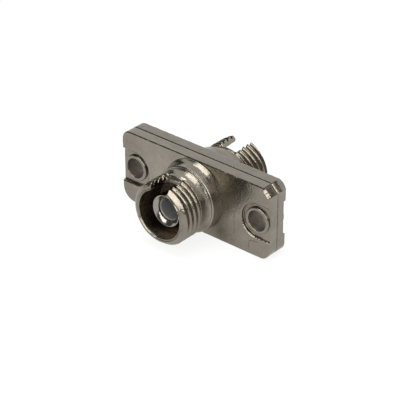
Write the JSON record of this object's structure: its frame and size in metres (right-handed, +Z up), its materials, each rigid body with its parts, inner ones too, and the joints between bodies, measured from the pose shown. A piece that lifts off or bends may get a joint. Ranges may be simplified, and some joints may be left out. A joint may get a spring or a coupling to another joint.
{
  "type": "fc fiber adapter",
  "caption": "Nickel-plated metal adapter that joins fibre connectors end to end: a flat rectangular screw flange with a threaded, keyed barrel on each face and a ceramic sleeve inside.",
  "frame": {"origin": "middle of the flange, on the optical axis, at the plane where the two halves meet; it is also the middle of the bounding box", "axes": "+X along the flange to the viewer's right, +Y along the optical axis towards the rear barrel, +Z up, on the keyway side"},
  "size_m": [0.0222, 0.0152, 0.0094],
  "materials": {
    "nickel_casting": "satin nickel plate on a zinc casting",
    "bright_nickel": "polished nickel plate on a turned tube",
    "rivet_nickel": "satin nickel plate on a hollow rivet",
    "zirconia": "ground grey-white ceramic"
  },
  "bodies": {
    "root": {"front_housing": "nickel_casting", "rear_housing": "nickel_casting", "front_sleeve_holder": "bright_nickel", "rear_sleeve_holder": "bright_nickel", "alignment_sleeve": "zirconia", "left_rivet": "rivet_nickel", "right_rivet": "rivet_nickel"}
  },
  "joints": []
}
